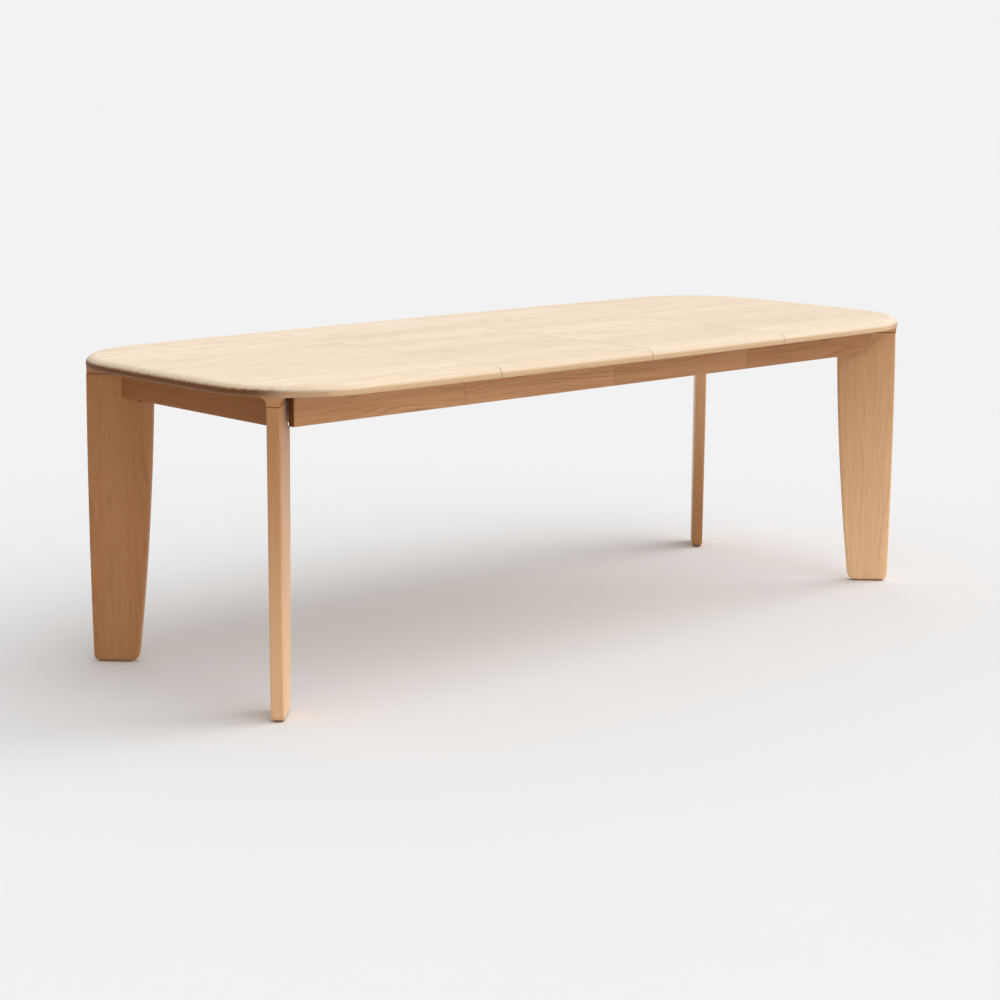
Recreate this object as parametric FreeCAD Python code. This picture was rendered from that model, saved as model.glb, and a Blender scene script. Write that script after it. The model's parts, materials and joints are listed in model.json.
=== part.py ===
import FreeCAD, Part
import math
import os

# Extendable dining table, drawn open with both insert leaves in place.
# X runs along the table, Y across it, Z up. The origin is on the floor, under the middle of the table.
# Left and right are -X and +X, front and back are -Y and +Y. Lengths are in millimetres.

V = FreeCAD.Vector
UP = V(0, 0, 1)

# overall size
table_height = 760.0
open_length = 2300.0
table_width = 940.0
leaf_length = 500.0
seam_gap = 0.4

# top
top_thickness = 27.0
edge_round_width = 27.0
edge_round_height = 17.0
side_bow = 22.0
end_bow = 12.0
corner_radius = 250.0

# aprons
apron_thickness = 22.0
apron_depth = 77.0
side_apron_face = 338.0
side_apron_end = 1007.0
end_apron_face = 1040.0
end_apron_end = 296.0
apron_edge_radius = 3.0

# legs: flat planks on the diagonals of the corners
leg_x = 1086.0
leg_y = 367.0
leg_thickness = 31.0
leg_outer_edge = -2.6
leg_outer_belly = -5.5
leg_width_top = 156.6
leg_width_middle = 138.4
leg_width_foot = 106.6
leg_edge_radius = 5.0
foot_outer_radius = 13.0
foot_inner_radius = 18.0
leg_tongue_width = 122.0
notch_drop = 10.0
pad_thickness = 4.0
pad_inset = 3.0

# cap blocks between the legs and the top
cap_height = 21.0
cap_flare_radius = 16.0
cap_flare_length = 45.0

# corner blocks and their bolts
block_depth = 43.0
block_height = 73.0
bolt_radius = 4.0
bolt_reach = 40.0
washer_radius = 9.0
washer_thickness = 1.6
bolt_head_radius = 7.0
bolt_head_height = 5.5

# telescopic runners
runner_height = 43.0
centre_runner_width = 30.0
side_runner_width = 24.0
centre_runner_y = 260.5
centre_runner_length = 860.0
side_runner_start = 85.0
side_runner_end = 915.0
tongue_height = 11.4
tongue_depth = 7.5
slide_gap = 0.4

# cross ties of the centre frame
tie_thickness = 22.0
middle_tie_width = 120.0
side_tie_width = 80.0
side_tie_x = 350.0

# rack and pinion that keep the two halves in step
gear_module = 2.0
pinion_teeth = 20
pressure_angle = 20.0
gear_width = 10.0
gear_backlash = 0.2
rack_back = 12.0
rack_lead = 16.0
rack_travel = leaf_length
rack_foot_length = 60.0
pin_radius = 5.0
pin_clearance = 0.05
guide_length = 50.0
guide_wall = 6.0
guide_floor = 1.6
guide_gap = 0.4

# battens under the leaves
batten_half_length = 216.0
batten_width = 45.0
batten_thickness = 20.0
batten_offset = 120.0

# turn latches and studs
latch_y = 120.0
latch_reach = 22.0
latch_thickness = 4.0
latch_drop = 1.0
latch_eye_radius = 12.0
latch_arm_width = 20.0
latch_tip_radius = 54.0
latch_slot_gap = 0.75
pivot_radius = 4.0
pivot_clearance = 0.05
stud_radius = 3.0

# screws
screw_radius = 2.2
screw_head_radius = 4.5
screw_head_height = 2.6
screw_bite = 15.0
hole_gap = 0.1

# derived heights
top_z = table_height
under_z = table_height - top_thickness
apron_z = under_z - apron_depth
cap_z = under_z - cap_height
notch_z = apron_z - notch_drop
runner_z = under_z - runner_height
tie_z = runner_z - tie_thickness
gear_z = runner_z + guide_floor + guide_gap
half_length = open_length / 2.0
half_width = table_width / 2.0
half_leaf_gap = seam_gap / 2.0
diagonal_sum = leg_x + leg_y
root_two = math.sqrt(2.0)


def box(x0, x1, y0, y1, z0, z1):
    """Block between two corners."""
    return Part.makeBox(x1 - x0, y1 - y0, z1 - z0, V(x0, y0, z0))


def rod(x, y, z0, z1, radius):
    """Upright cylinder."""
    return Part.makeCylinder(radius, z1 - z0, V(x, y, z0))


def prism(points, z0, z1):
    """Upright prism on a plan polygon."""
    corners = [V(x, y, z0) for x, y in points]
    face = Part.Face(Part.makePolygon(corners + corners[:1]))
    return face.extrude(V(0, 0, z1 - z0))


def mirror_x(shape):
    """The same piece on the other end of the table."""
    return shape.mirror(V(0, 0, 0), V(1, 0, 0))


def mirror_y(shape):
    """The same piece on the other side of the table."""
    return shape.mirror(V(0, 0, 0), V(0, 1, 0))


def plan_point(centre, radius, angle):
    """Point on a plan circle; the angle is in radians."""
    return V(centre.x + radius * math.cos(angle), centre.y + radius * math.sin(angle), 0)


def outline_arcs():
    """The eight tangent arcs of the top's outline: centre, radius, first angle and last angle."""
    side_radius = (half_length ** 2 + side_bow ** 2) / (2 * side_bow)
    end_radius = (half_width ** 2 + end_bow ** 2) / (2 * end_bow)
    side_centre = V(0, half_width - side_radius, 0)
    end_centre = V(half_length - end_radius, 0, 0)
    to_side = side_radius - corner_radius
    to_end = end_radius - corner_radius
    line = end_centre - side_centre
    along = (to_side ** 2 - to_end ** 2 + line.Length ** 2) / (2 * line.Length)
    off = math.sqrt(to_side ** 2 - along ** 2)
    unit = V(line).normalize()
    corner = side_centre + unit * along + V(unit.y, -unit.x, 0) * off
    low = math.atan2(corner.y - end_centre.y, corner.x - end_centre.x)
    high = math.atan2(corner.y - side_centre.y, corner.x - side_centre.x)
    turn = math.pi
    return [
        (end_centre, end_radius, -low, low),
        (corner, corner_radius, low, high),
        (side_centre, side_radius, high, turn - high),
        (V(-corner.x, corner.y, 0), corner_radius, turn - high, turn - low),
        (V(-end_centre.x, 0, 0), end_radius, turn - low, turn + low),
        (V(-corner.x, -corner.y, 0), corner_radius, turn + low, turn + high),
        (V(0, -side_centre.y, 0), side_radius, turn + high, 2 * turn - high),
        (V(corner.x, -corner.y, 0), corner_radius, 2 * turn - high, 2 * turn - low),
    ]


def outline_face(z, inset=0.0):
    """The top's outline, or an outline set in from it, as a face at height z."""
    edges = []
    for centre, radius, first, last in outline_arcs():
        start = plan_point(centre, radius - inset, first)
        middle = plan_point(centre, radius - inset, (first + last) / 2)
        end = plan_point(centre, radius - inset, last)
        edges.append(Part.Arc(start, middle, end).toShape())
    face = Part.Face(Part.Wire(edges))
    face.translate(V(0, 0, z))
    return face


def edge_faces(centre, radius, first, last):
    """The upright edge and the rounding above it, along one arc of the outline."""
    out = V(math.cos(first), math.sin(first), 0)
    shoulder = top_z - edge_round_height

    def at(distance, z):
        return centre + out * distance + UP * z

    inner = radius - edge_round_width
    upright = Part.makeLine(at(radius, under_z), at(radius, shoulder))
    curve = Part.Ellipse(at(radius, shoulder), at(inner, top_z), at(inner, shoulder))
    rounding = Part.ArcOfEllipse(curve, 0, math.pi / 2).toShape()
    sweep = math.degrees(last - first)
    return [line.revolve(centre, UP, sweep) for line in (upright, rounding)]


def whole_top():
    """The whole top as one slab, before it is divided into panels."""
    faces = [outline_face(under_z), outline_face(top_z, edge_round_width)]
    for arc in outline_arcs():
        faces += edge_faces(*arc)
    skin = Part.makeShell(faces)
    skin.sewShape()
    return Part.makeSolid(skin)


def screw_hole(x, y):
    """Blind hole for a screw, up into the underside of the top."""
    return rod(x, y, under_z - 1, under_z + screw_bite + 1, screw_radius + hole_gap)


def side_apron(x0, x1, free_ends):
    """Back apron board between two X positions, its lower edges and its free ends eased."""
    inner = side_apron_face - apron_thickness
    board = box(x0, x1, inner, side_apron_face, apron_z, under_z)
    eased = []
    for edge in board.Edges:
        a, b = edge.Vertexes[0].Point, edge.Vertexes[-1].Point
        lower = abs(a.z - apron_z) < 0.01 and abs(b.z - apron_z) < 0.01 and abs(a.y - b.y) < 0.01
        end = abs(a.x - b.x) < 0.01 and abs(a.y - b.y) < 0.01 and round(a.x, 3) in free_ends
        if lower or end:
            eased.append(edge)
    return board.makeFillet(apron_edge_radius, eased)


def leg_space(clearance):
    """The space a leg needs at the corner of the aprons."""
    half = leg_thickness / 2 + clearance
    space = box(-20, leg_tongue_width, -half, half, notch_z, under_z)
    return to_corner(space)


def end_apron():
    """Right end apron, bevelled at both ends to clear the legs."""
    inner = end_apron_face - apron_thickness
    board = box(inner, end_apron_face, -end_apron_end, end_apron_end, apron_z, under_z)
    eased = []
    for edge in board.Edges:
        a, b = edge.Vertexes[0].Point, edge.Vertexes[-1].Point
        outer = abs(a.x - end_apron_face) < 0.01 and abs(b.x - end_apron_face) < 0.01
        if outer and abs(max(a.z, b.z) - under_z) > 0.01:
            eased.append(edge)
        elif outer and abs(a.y - b.y) < 0.01:
            eased.append(edge)
    board = board.makeFillet(apron_edge_radius, eased)
    space = leg_space(1.2)
    return board.cut([space, mirror_y(space)])


def to_corner(shape):
    """From leg coordinates (X inwards from the leg's outer edge) to the back right corner."""
    shape.rotate(V(0, 0, 0), UP, 225)
    shape.translate(V(leg_x, leg_y, 0))
    return shape


def bolt_heights():
    """Heights of the two bolts through each corner block."""
    return [apron_z + 18.0, apron_z + 42.0]


def leg():
    """Back right leg: a plank with bowed edges, notched at its inner top corner."""
    foot_z = pad_thickness
    middle_z = (notch_z + foot_z) / 2
    half = leg_thickness / 2

    def at(u, z):
        return V(u, -half, z)

    outer_top = at(leg_outer_edge, cap_z)
    outer_foot = at(leg_outer_edge, foot_z)
    inner_foot = at(leg_width_foot, foot_z)
    inner_top = at(leg_width_top, notch_z)
    notch = at(leg_tongue_width, notch_z)
    tongue = at(leg_tongue_width, cap_z)
    edges = [
        Part.Arc(outer_top, at(leg_outer_belly, (cap_z + foot_z) / 2), outer_foot).toShape(),
        Part.makeLine(outer_foot, inner_foot),
        Part.Arc(inner_foot, at(leg_width_middle, middle_z), inner_top).toShape(),
        Part.makeLine(inner_top, notch),
        Part.makeLine(notch, tongue),
        Part.makeLine(tongue, outer_top),
    ]
    plank = Part.Face(Part.Wire(edges)).extrude(V(0, leg_thickness, 0))
    for corner, radius in ((outer_foot, foot_outer_radius), (inner_foot, foot_inner_radius)):
        across = [e for e in plank.Edges if is_across(e, corner.x, corner.z)]
        plank = plank.makeFillet(radius, across)
    plank = plank.makeFillet(leg_edge_radius, [e for e in plank.Edges if is_long_edge(e, half)])
    for z in bolt_heights():
        plank = plank.cut(leg_bolt_hole(z))
    return to_corner(plank)


def is_across(edge, u, z):
    """True for the edge that crosses the plank's thickness at one corner of its outline."""
    return all(abs(v.Point.x - u) < 0.01 and abs(v.Point.z - z) < 0.01 for v in edge.Vertexes)


def is_long_edge(edge, half):
    """True for the edges of the plank's broad faces, but not those of its top and notch."""
    points = [v.Point for v in edge.Vertexes]
    broad = all(abs(abs(p.y) - half) < 0.01 for p in points) and abs(points[0].y - points[-1].y) < 1
    level = abs(points[0].z - points[-1].z) < 0.01 and points[0].z > notch_z - 0.01
    tongue = all(abs(p.x - leg_tongue_width) < 0.01 for p in points)
    return broad and not level and not tongue


def leg_bolt_hole(z):
    """Blind hole for a bolt, in leg coordinates."""
    start = leg_tongue_width - bolt_reach - 2
    return Part.makeCylinder(bolt_radius + hole_gap, bolt_reach + 3, V(start, 0, z), V(1, 0, 0))


def leg_bolts():
    """The two bolts that hold the back right leg to its corner block."""
    bolts = []
    face = leg_tongue_width + block_depth
    for z in bolt_heights():
        start = leg_tongue_width - bolt_reach
        reach = face + washer_thickness - start
        shank = Part.makeCylinder(bolt_radius, reach, V(start, 0, z), V(1, 0, 0))
        washer = Part.makeCylinder(washer_radius, washer_thickness, V(face, 0, z), V(1, 0, 0))
        corners = []
        for k in range(7):
            angle = math.radians(60 * k)
            y = bolt_head_radius * math.cos(angle)
            corners.append(V(face + washer_thickness, y, z + bolt_head_radius * math.sin(angle)))
        head = Part.Face(Part.makePolygon(corners)).extrude(V(bolt_head_height, 0, 0))
        bolts.append(to_corner(shank.fuse([washer, head]).removeSplitter()))
    return bolts


def cap():
    """Back right cap block: flush with the top's edge and flared out to it on both sides."""
    half = leg_thickness / 2
    top = half + cap_flare_radius
    spring = under_z - cap_flare_radius

    def at(v, z):
        return V(-12, v, z)

    bend = cap_flare_radius * (1 - math.sqrt(0.5))
    edges = [
        Part.makeLine(at(-half, cap_z), at(half, cap_z)),
        Part.makeLine(at(half, cap_z), at(half, spring)),
        Part.Arc(at(half, spring), at(half + bend, under_z - bend), at(top, under_z)).toShape(),
        Part.makeLine(at(top, under_z), at(-top, under_z)),
        Part.Arc(at(-top, under_z), at(-half - bend, under_z - bend), at(-half, spring)).toShape(),
        Part.makeLine(at(-half, spring), at(-half, cap_z)),
    ]
    flared = Part.Face(Part.Wire(edges)).extrude(V(12 + cap_flare_length, 0, 0))
    plain = box(0, leg_tongue_width, -half, half, cap_z, under_z)
    block = to_corner(flared.fuse(plain).removeSplitter())
    return block.common(outline_face(cap_z).extrude(V(0, 0, cap_height)))


def pad():
    """Pad under the back right leg."""
    half = leg_thickness / 2 - pad_inset
    start = leg_outer_edge + foot_outer_radius
    end = leg_width_foot - foot_inner_radius
    sole = box(start, end, -half, half, 0, pad_thickness)
    upright = [e for e in sole.Edges if abs(e.Vertexes[0].Z - e.Vertexes[-1].Z) > 1]
    return to_corner(sole.makeFillet(4.0, upright))


def corner_block():
    """Back right corner block, between the aprons and behind the leg's tongue."""
    inner_y = side_apron_face - apron_thickness
    inner_x = end_apron_face - apron_thickness
    near = diagonal_sum - leg_tongue_width * root_two
    far = diagonal_sum - (leg_tongue_width + block_depth) * root_two
    plan = [
        (near - inner_y, inner_y),
        (inner_x, near - inner_x),
        (inner_x, far - inner_x),
        (far - inner_y, inner_y),
    ]
    block = prism(plan, under_z - block_height, under_z)
    holes = [to_corner(leg_bolt_clearance(z)) for z in bolt_heights()]
    x, y = block_screw_place()
    holes.append(rod(x, y, under_z - block_height - 1, under_z - 38, screw_head_radius + 1))
    holes.append(rod(x, y, under_z - 40, under_z + 1, screw_radius + hole_gap))
    return block.cut(holes)


def leg_bolt_clearance(z):
    """Through hole for a bolt in the corner block, in leg coordinates."""
    start = leg_tongue_width - 1
    return Part.makeCylinder(bolt_radius + hole_gap, block_depth + 2, V(start, 0, z), V(1, 0, 0))


def block_screw_place():
    """Plan place of the screw that holds the corner block to the top, beside the bolts."""
    inwards = (leg_tongue_width + block_depth / 2) / root_two
    return leg_x - inwards - 22.0, leg_y - inwards + 22.0


def screw(x, y, head_z):
    """Wood screw driven up into the underside of the top, its head's seat at head_z."""
    head = rod(x, y, head_z - screw_head_height, head_z, screw_head_radius)
    shank = rod(x, y, head_z, under_z + screw_bite, screw_radius)
    return head.fuse(shank).removeSplitter()


def runner_screw_places():
    """X positions of the screws that hold a half's runners."""
    return [560.0, 860.0]


def centre_runner():
    """Back centre runner, grooved on both faces."""
    half = centre_runner_width / 2
    low, high = runner_z, under_z - slide_gap
    length = centre_runner_length / 2
    beam = box(-length, length, centre_runner_y - half, centre_runner_y + half, low, high)
    middle = (runner_z + under_z) / 2
    groove = tongue_height / 2 + slide_gap
    depth = tongue_depth + slide_gap
    for side in (-1, 1):
        face = centre_runner_y + side * half
        inner, outer = sorted((face - side * depth, face + side))
        beam = beam.cut(box(-length - 1, length + 1, inner, outer, middle - groove, middle + groove))
    for x in tie_places():
        beam = beam.cut(rod(x, centre_runner_y, runner_z - 1, runner_z + 13, screw_radius + hole_gap))
    return beam


def side_runner(side):
    """Back runner of the right half on one side of the centre runner: -1 inside it, +1 outside it."""
    face = centre_runner_y + side * (centre_runner_width / 2 + slide_gap)
    inner, outer = sorted((face, face + side * side_runner_width))
    beam = box(side_runner_start, side_runner_end, inner, outer, runner_z, under_z)
    middle = (runner_z + under_z) / 2
    low, high = sorted((face, face - side * tongue_depth))
    length = side_runner_end - side_runner_start
    tongue = box(0, length, low, high, middle - tongue_height / 2, middle + tongue_height / 2)
    tongue.translate(V(side_runner_start, 0, 0))
    beam = beam.fuse(tongue).removeSplitter()
    y = runner_middle(side)
    for x in runner_screw_places():
        beam = beam.cut(rod(x, y, runner_z - 1, under_z - 15, screw_head_radius + 1))
        beam = beam.cut(rod(x, y, under_z - 16, under_z + 1, screw_radius + hole_gap))
    return beam


def runner_middle(side):
    """Y of the middle of a half's back runner."""
    return centre_runner_y + side * ((centre_runner_width + side_runner_width) / 2 + slide_gap)


def tie_places():
    """X positions of the cross ties."""
    return [-side_tie_x, 0.0, side_tie_x]


def tie(x, width):
    """Cross tie under the centre runners."""
    reach = centre_runner_y + centre_runner_width / 2
    board = box(x - width / 2, x + width / 2, -reach, reach, tie_z, runner_z)
    upright = [e for e in board.Edges if abs(e.Vertexes[0].Z - e.Vertexes[-1].Z) > 1]
    board = board.makeFillet(4.0, upright)
    for y in (-centre_runner_y, centre_runner_y):
        board = board.cut(rod(x, y, tie_z - 1, runner_z + 1, screw_radius + hole_gap))
    return board


def tie_screws():
    """Screws up through the ties into the centre runners."""
    screws = []
    for x in tie_places():
        for y in (-centre_runner_y, centre_runner_y):
            head = rod(x, y, tie_z - screw_head_height, tie_z, screw_head_radius)
            shank = rod(x, y, tie_z, runner_z + 12, screw_radius)
            screws.append(head.fuse(shank).removeSplitter())
    return screws


def pitch_radius():
    """Pitch radius of the pinion."""
    return gear_module * pinion_teeth / 2


def rack_teeth(count):
    """Plan points of rack teeth in steps towards -X, tips towards -Y, with a gap centred on X = 0."""
    pitch = math.pi * gear_module
    slope = math.tan(math.radians(pressure_angle))
    middle = (pitch - gear_backlash) / 4
    tip = middle - gear_module * slope
    root = middle + 1.25 * gear_module * slope
    tip_y = pitch_radius() - gear_module
    root_y = pitch_radius() + 1.25 * gear_module
    points = []
    for k in range(count):
        x = (2 - k) * pitch - pitch / 2
        points += [(x + root, root_y), (x + tip, tip_y), (x - tip, tip_y), (x - root, root_y)]
    return points


def left_rack():
    """Rack of the left half: a toothed bar that ends in a foot screwed under the left panel."""
    pitch = math.pi * gear_module
    count = int((rack_travel + rack_lead) / pitch) + 2
    root_y = pitch_radius() + 1.25 * gear_module
    back_y = root_y + rack_back
    far = -leaf_length - rack_foot_length - 60.0
    plan = [(rack_lead, root_y)] + rack_teeth(count) + [(far, root_y), (far, back_y), (rack_lead, back_y)]
    bar = prism(plan, gear_z, gear_z + gear_width)
    foot = box(far, far + rack_foot_length, root_y, back_y, gear_z, under_z)
    rack = bar.fuse(foot).removeSplitter()
    for x in rack_screw_places():
        y = (root_y + back_y) / 2
        rack = rack.cut(rod(x, y, gear_z - 1, under_z - 15, screw_head_radius + 0.5))
        rack = rack.cut(rod(x, y, under_z - 16, under_z + 1, screw_radius + hole_gap))
    return rack


def rack_screw_places():
    """X positions of the screws in the left rack's foot."""
    far = -leaf_length - rack_foot_length - 60.0
    return [far + 12.0, far + rack_foot_length - 12.0]


def pinion():
    """Pinion with involute teeth, one of them pointing along +Y, bored for its pin."""
    radius = pitch_radius()
    base = radius * math.cos(math.radians(pressure_angle))
    tip = radius + gear_module
    root = radius - 1.25 * gear_module
    half_pitch_angle = (math.pi * gear_module - gear_backlash) / 4 / radius
    inv_pressure = math.tan(math.radians(pressure_angle)) - math.radians(pressure_angle)

    def half_angle(r):
        roll = math.acos(min(1.0, base / r))
        return half_pitch_angle + inv_pressure - (math.tan(roll) - roll)

    steps = 6
    flank = [base + (tip - base) * k / steps for k in range(steps + 1)]
    points = []
    for tooth in range(pinion_teeth):
        middle = math.pi / 2 + 2 * math.pi * tooth / pinion_teeth
        side = [(root, -half_angle(base))] + [(r, -half_angle(r)) for r in flank]
        whole = side + [(r, -a) for r, a in reversed(side)]
        points += [(r * math.cos(middle + a), r * math.sin(middle + a)) for r, a in whole]
    gear = prism(points, gear_z, gear_z + gear_width)
    return gear.cut(rod(0, 0, gear_z - 1, gear_z + gear_width + 1, pin_radius))


def pinion_pin():
    """Headed pin that the pinion turns on, pressed into the middle tie."""
    shank = rod(0, 0, tie_z, gear_z + gear_width + guide_gap, pin_radius - pin_clearance)
    low = gear_z + gear_width + guide_gap
    return shank.fuse(rod(0, 0, low, low + 2.5, pin_radius + 3)).removeSplitter()


def rack_guide():
    """Channel on the middle tie that keeps both racks against the pinion."""
    inner = pitch_radius() + 1.25 * gear_module + rack_back + guide_gap
    half = guide_length / 2
    outer = inner + guide_wall
    channel = box(-half, half, -outer, outer, runner_z, gear_z + gear_width + 2)
    hollow = box(-half - 1, half + 1, -inner, inner, runner_z + guide_floor, gear_z + gear_width + 3)
    channel = channel.cut(hollow)
    return channel.cut(rod(0, 0, runner_z - 1, runner_z + guide_floor + 1, pin_radius))


def batten(x):
    """Batten across the underside of a leaf."""
    half = batten_width / 2
    board = box(x - half, x + half, -batten_half_length, batten_half_length, under_z - batten_thickness, under_z)
    lower = [e for e in board.Edges if max(v.Z for v in e.Vertexes) < under_z - batten_thickness + 0.01]
    board = board.makeFillet(4.0, lower)
    for y in batten_screw_places():
        board = board.cut(rod(x, y, under_z - batten_thickness - 1, under_z + 1, screw_radius + hole_gap))
    return board


def batten_screw_places():
    """Y positions of the screws in a batten."""
    return [-170.0, 0.0, 170.0]


def leaf_batten_places(middle):
    """X positions of the two battens of a leaf."""
    return [middle - batten_offset, middle + batten_offset]


def latch_slot_radius():
    """Radius at which a latch hooks its stud."""
    return 2 * latch_reach


def latch(pivot_x):
    """Back latch, parked along +Y; it turns clockwise, seen from above, to hook a stud on its +X side."""
    z0 = under_z - latch_drop - latch_thickness
    z1 = under_z - latch_drop
    eye = rod(0, 0, z0, z1, latch_eye_radius)
    half = latch_arm_width / 2
    reach = latch_tip_radius
    arm = box(-half, half, 0, reach + 4, z0, z1).common(rod(0, 0, z0, z1, reach))
    hook = latch_slot_radius()
    gap = stud_radius + latch_slot_gap
    ring = rod(0, 0, z0 - 1, z1 + 1, hook + gap).cut(rod(0, 0, z0 - 1, z1 + 1, hook - gap))
    slot = ring.common(box(0, half + 2, 0, reach, z0 - 1, z1 + 1))
    slot = slot.fuse(rod(0, hook, z0 - 1, z1 + 1, gap))
    lever = eye.fuse(arm).removeSplitter().cut(slot)
    lever = lever.cut(rod(0, 0, z0 - 1, z1 + 1, pivot_radius + pivot_clearance))
    lever.translate(V(pivot_x, latch_y, 0))
    return lever


def headed_stud(x, y, shank_radius, head_radius):
    """Shouldered stud screwed into the underside, for a latch to turn on or to hook."""
    low = under_z - latch_drop - latch_thickness - 0.8
    head = rod(x, y, low - 2.5, low, head_radius)
    shoulder = rod(x, y, low, under_z, shank_radius)
    thread = rod(x, y, under_z, under_z + screw_bite, screw_radius)
    return head.fuse([shoulder, thread]).removeSplitter()


def pivots(x):
    """Front and back latch pivots at one seam."""
    return [headed_stud(x, side * latch_y, pivot_radius, pivot_radius + 3) for side in (-1, 1)]


def studs(x):
    """Front and back studs at one seam."""
    return [headed_stud(x, side * latch_y, stud_radius, stud_radius + 2.5) for side in (-1, 1)]


def half_screw_places(runner_side):
    """Plan places of all the screws in the right half's top, except the rack's."""
    places = []
    x, y = block_screw_place()
    for side in (-1, 1):
        places.append((x, side * y))
        places += [(rx, side * runner_middle(runner_side)) for rx in runner_screw_places()]
    return places


def half_screws(runner_side):
    """Screws of the right half: corner blocks and runners."""
    screws = []
    x, y = block_screw_place()
    for side in (-1, 1):
        screws.append(screw(x, side * y, under_z - 38))
        for rx in runner_screw_places():
            screws.append(screw(rx, side * runner_middle(runner_side), under_z - 15))
    return screws


def rack_screws():
    """Screws of the left rack's foot."""
    y = pitch_radius() + 1.25 * gear_module + rack_back / 2
    return [screw(x, y, under_z - 15) for x in rack_screw_places()]


def panel(top, x0, x1, hole_places):
    """One panel of the top, between two seams, with its screw holes."""
    piece = top.common(box(x0, x1, -half_width - 5, half_width + 5, under_z - 5, top_z + 5))
    return piece.cut([screw_hole(x, y) for x, y in hole_places])


def save(name, shapes):
    """Write one node; several solids in one node stay separate."""
    shape = shapes[0] if len(shapes) == 1 else Part.makeCompound(shapes)
    shape.exportStep(os.path.join("parts", name + ".step"))


def build_half(name, top, flip, runner_side):
    """All the pieces of one half; flip takes a piece of the right half to its place."""
    seam = leaf_length + half_leaf_gap
    rack_y = pitch_radius() + 1.25 * gear_module + rack_back / 2
    latch_x = leaf_length + latch_reach
    places = half_screw_places(runner_side)
    places += [(latch_x, -latch_y), (latch_x, latch_y)]
    rack_side = 1 if name == "left" else -1
    places += [(-x, rack_side * rack_y) for x in rack_screw_places()]
    save(name + "_top", [flip(panel(top, seam, half_length + 5, places))])
    board = side_apron(seam, side_apron_end, (side_apron_end,))
    block = corner_block()
    runner = side_runner(runner_side)
    for side, across in (("back", lambda s: s), ("front", mirror_y)):
        save(name + "_" + side + "_apron", [flip(across(board))])
        save(name + "_" + side + "_corner_block", [flip(across(block))])
        save(name + "_" + side + "_cap", [flip(across(cap()))])
        save(name + "_" + side + "_leg", [flip(across(leg()))])
        save(name + "_" + side + "_runner", [flip(across(runner))])
    save(name + "_end_apron", [flip(end_apron())])
    bolts = leg_bolts()
    save(name + "_leg_bolts", [flip(b) for b in bolts + [mirror_y(b) for b in bolts]])
    save(name + "_foot_pads", [flip(pad()), flip(mirror_y(pad()))])
    screws = [flip(s) for s in half_screws(runner_side) + pivots(latch_x)]
    rack = left_rack()
    if name == "right":
        turned = mirror_x(mirror_y(rack))
        save(name + "_rack", [turned])
        screws += [mirror_x(mirror_y(s)) for s in rack_screws()]
    else:
        save(name + "_rack", [rack])
        screws += rack_screws()
    save(name + "_screws", screws)


def build_leaf(name, top, middle, stud_seams, pivot_seams):
    """All the pieces of one leaf, centred on X = middle."""
    x0 = middle - leaf_length / 2 + half_leaf_gap
    x1 = middle + leaf_length / 2 - half_leaf_gap
    places = [(x, y) for x in leaf_batten_places(middle) for y in batten_screw_places()]
    for x in stud_seams + pivot_seams:
        places += [(x, -latch_y), (x, latch_y)]
    save(name + "_top", [panel(top, x0, x1, places)])
    board = side_apron(x0, x1, ())
    save(name + "_back_apron", [board])
    save(name + "_front_apron", [mirror_y(board)])
    save(name + "_battens", [batten(x) for x in leaf_batten_places(middle)])
    screws = []
    for x in leaf_batten_places(middle):
        screws += [screw(x, y, under_z - batten_thickness) for y in batten_screw_places()]
    for x in pivot_seams:
        screws += pivots(x)
    save(name + "_screws", screws)
    hooked = []
    for x in stud_seams:
        hooked += studs(x)
    save(name + "_studs", hooked)


def main():
    os.makedirs("parts", exist_ok=True)
    top = whole_top()
    build_half("left", top, mirror_x, 1)
    build_half("right", top, lambda s: s, -1)
    build_leaf("leaf_a", top, -leaf_length / 2, [-leaf_length + latch_reach], [-latch_reach])
    build_leaf("leaf_b", top, leaf_length / 2, [latch_reach, leaf_length - latch_reach], [])

    save("centre_back_runner", [centre_runner()])
    save("centre_front_runner", [mirror_y(centre_runner())])
    middle_tie = tie(0.0, middle_tie_width).cut(rod(0, 0, tie_z - 1, runner_z + 1, pin_radius))
    save("middle_tie", [middle_tie])
    save("left_tie", [tie(-side_tie_x, side_tie_width)])
    save("right_tie", [tie(side_tie_x, side_tie_width)])
    save("tie_screws", tie_screws())
    save("rack_guide", [rack_guide()])
    save("pinion_pin", [pinion_pin()])
    save("pinion", [pinion()])

    left_latch = latch(-leaf_length - latch_reach)
    middle_latch = latch(-latch_reach)
    for name, lever in (("left", left_latch), ("middle", middle_latch), ("right", mirror_x(left_latch))):
        save(name + "_back_latch", [lever])
        save(name + "_front_latch", [mirror_y(lever)])


main()
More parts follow.
